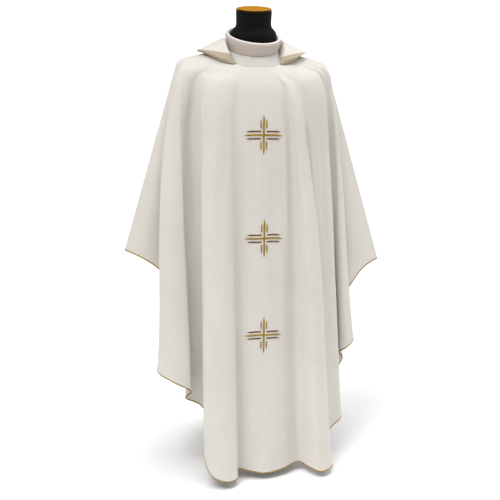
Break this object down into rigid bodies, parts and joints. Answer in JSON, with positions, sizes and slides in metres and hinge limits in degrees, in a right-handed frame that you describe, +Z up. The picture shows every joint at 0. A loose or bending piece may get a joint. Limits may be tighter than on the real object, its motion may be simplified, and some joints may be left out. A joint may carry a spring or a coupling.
{
  "type": "gothic chasuble on a dress form",
  "caption": "Ivory gothic chasuble with a roll collar, a flat pointed collar, gold hem binding and embroidered crosses, hanging open on a limbless black dress form.",
  "frame": {"origin": "the floor point under the middle of the dress form's pole, on the underside of its base", "axes": "+Z up from the floor, front of the garment towards -Y, the viewer's right is +X; distances in metres"},
  "size_m": [0.8397, 0.4933, 1.493],
  "materials": {
    "ivory_cloth": "fine plain-woven ivory cloth with a soft sheen",
    "collar_cloth": "the same ivory cloth, doubled",
    "gold_binding": "narrow gold binding round the hem",
    "gold_thread": "raised satin stitch in yellow gold thread",
    "gold_thread_brown": "raised satin stitch in brownish gold thread",
    "black_jersey": "black jersey cover, matt",
    "orange_wood": "turned orange-brown wood, satin varnish",
    "dark_metal": "dark painted steel"
  },
  "bodies": {
    "root": {"front_panel": "ivory_cloth", "back_panel": "ivory_cloth", "hem_binding_front": "gold_binding", "hem_binding_back": "gold_binding", "roll_collar": "collar_cloth", "collar_stand": "collar_cloth", "pointed_collar": "collar_cloth", "cross_upper_plus": "gold_thread", "cross_upper_top_left": "gold_thread", "cross_upper_top_right": "gold_thread", "cross_upper_bottom_left": "gold_thread", "cross_upper_bottom_right": "gold_thread", "cross_upper_left_high": "gold_thread_brown", "cross_upper_left_low": "gold_thread_brown", "cross_upper_right_high": "gold_thread_brown", "cross_upper_right_low": "gold_thread_brown", "cross_middle_plus": "gold_thread", "cross_middle_top_left": "gold_thread", "cross_middle_top_right": "gold_thread", "cross_middle_bottom_left": "gold_thread", "cross_middle_bottom_right": "gold_thread", "cross_middle_left_high": "gold_thread_brown", "cross_middle_left_low": "gold_thread_brown", "cross_middle_right_high": "gold_thread_brown", "cross_middle_right_low": "gold_thread_brown", "cross_lower_plus": "gold_thread", "cross_lower_top_left": "gold_thread", "cross_lower_top_right": "gold_thread", "cross_lower_bottom_left": "gold_thread", "cross_lower_bottom_right": "gold_thread", "cross_lower_left_high": "gold_thread_brown", "cross_lower_left_low": "gold_thread_brown", "cross_lower_right_high": "gold_thread_brown", "cross_lower_right_low": "gold_thread_brown", "form_body": "black_jersey", "form_cap": "orange_wood", "form_pole": "dark_metal", "form_base": "dark_metal"}
  },
  "joints": []
}
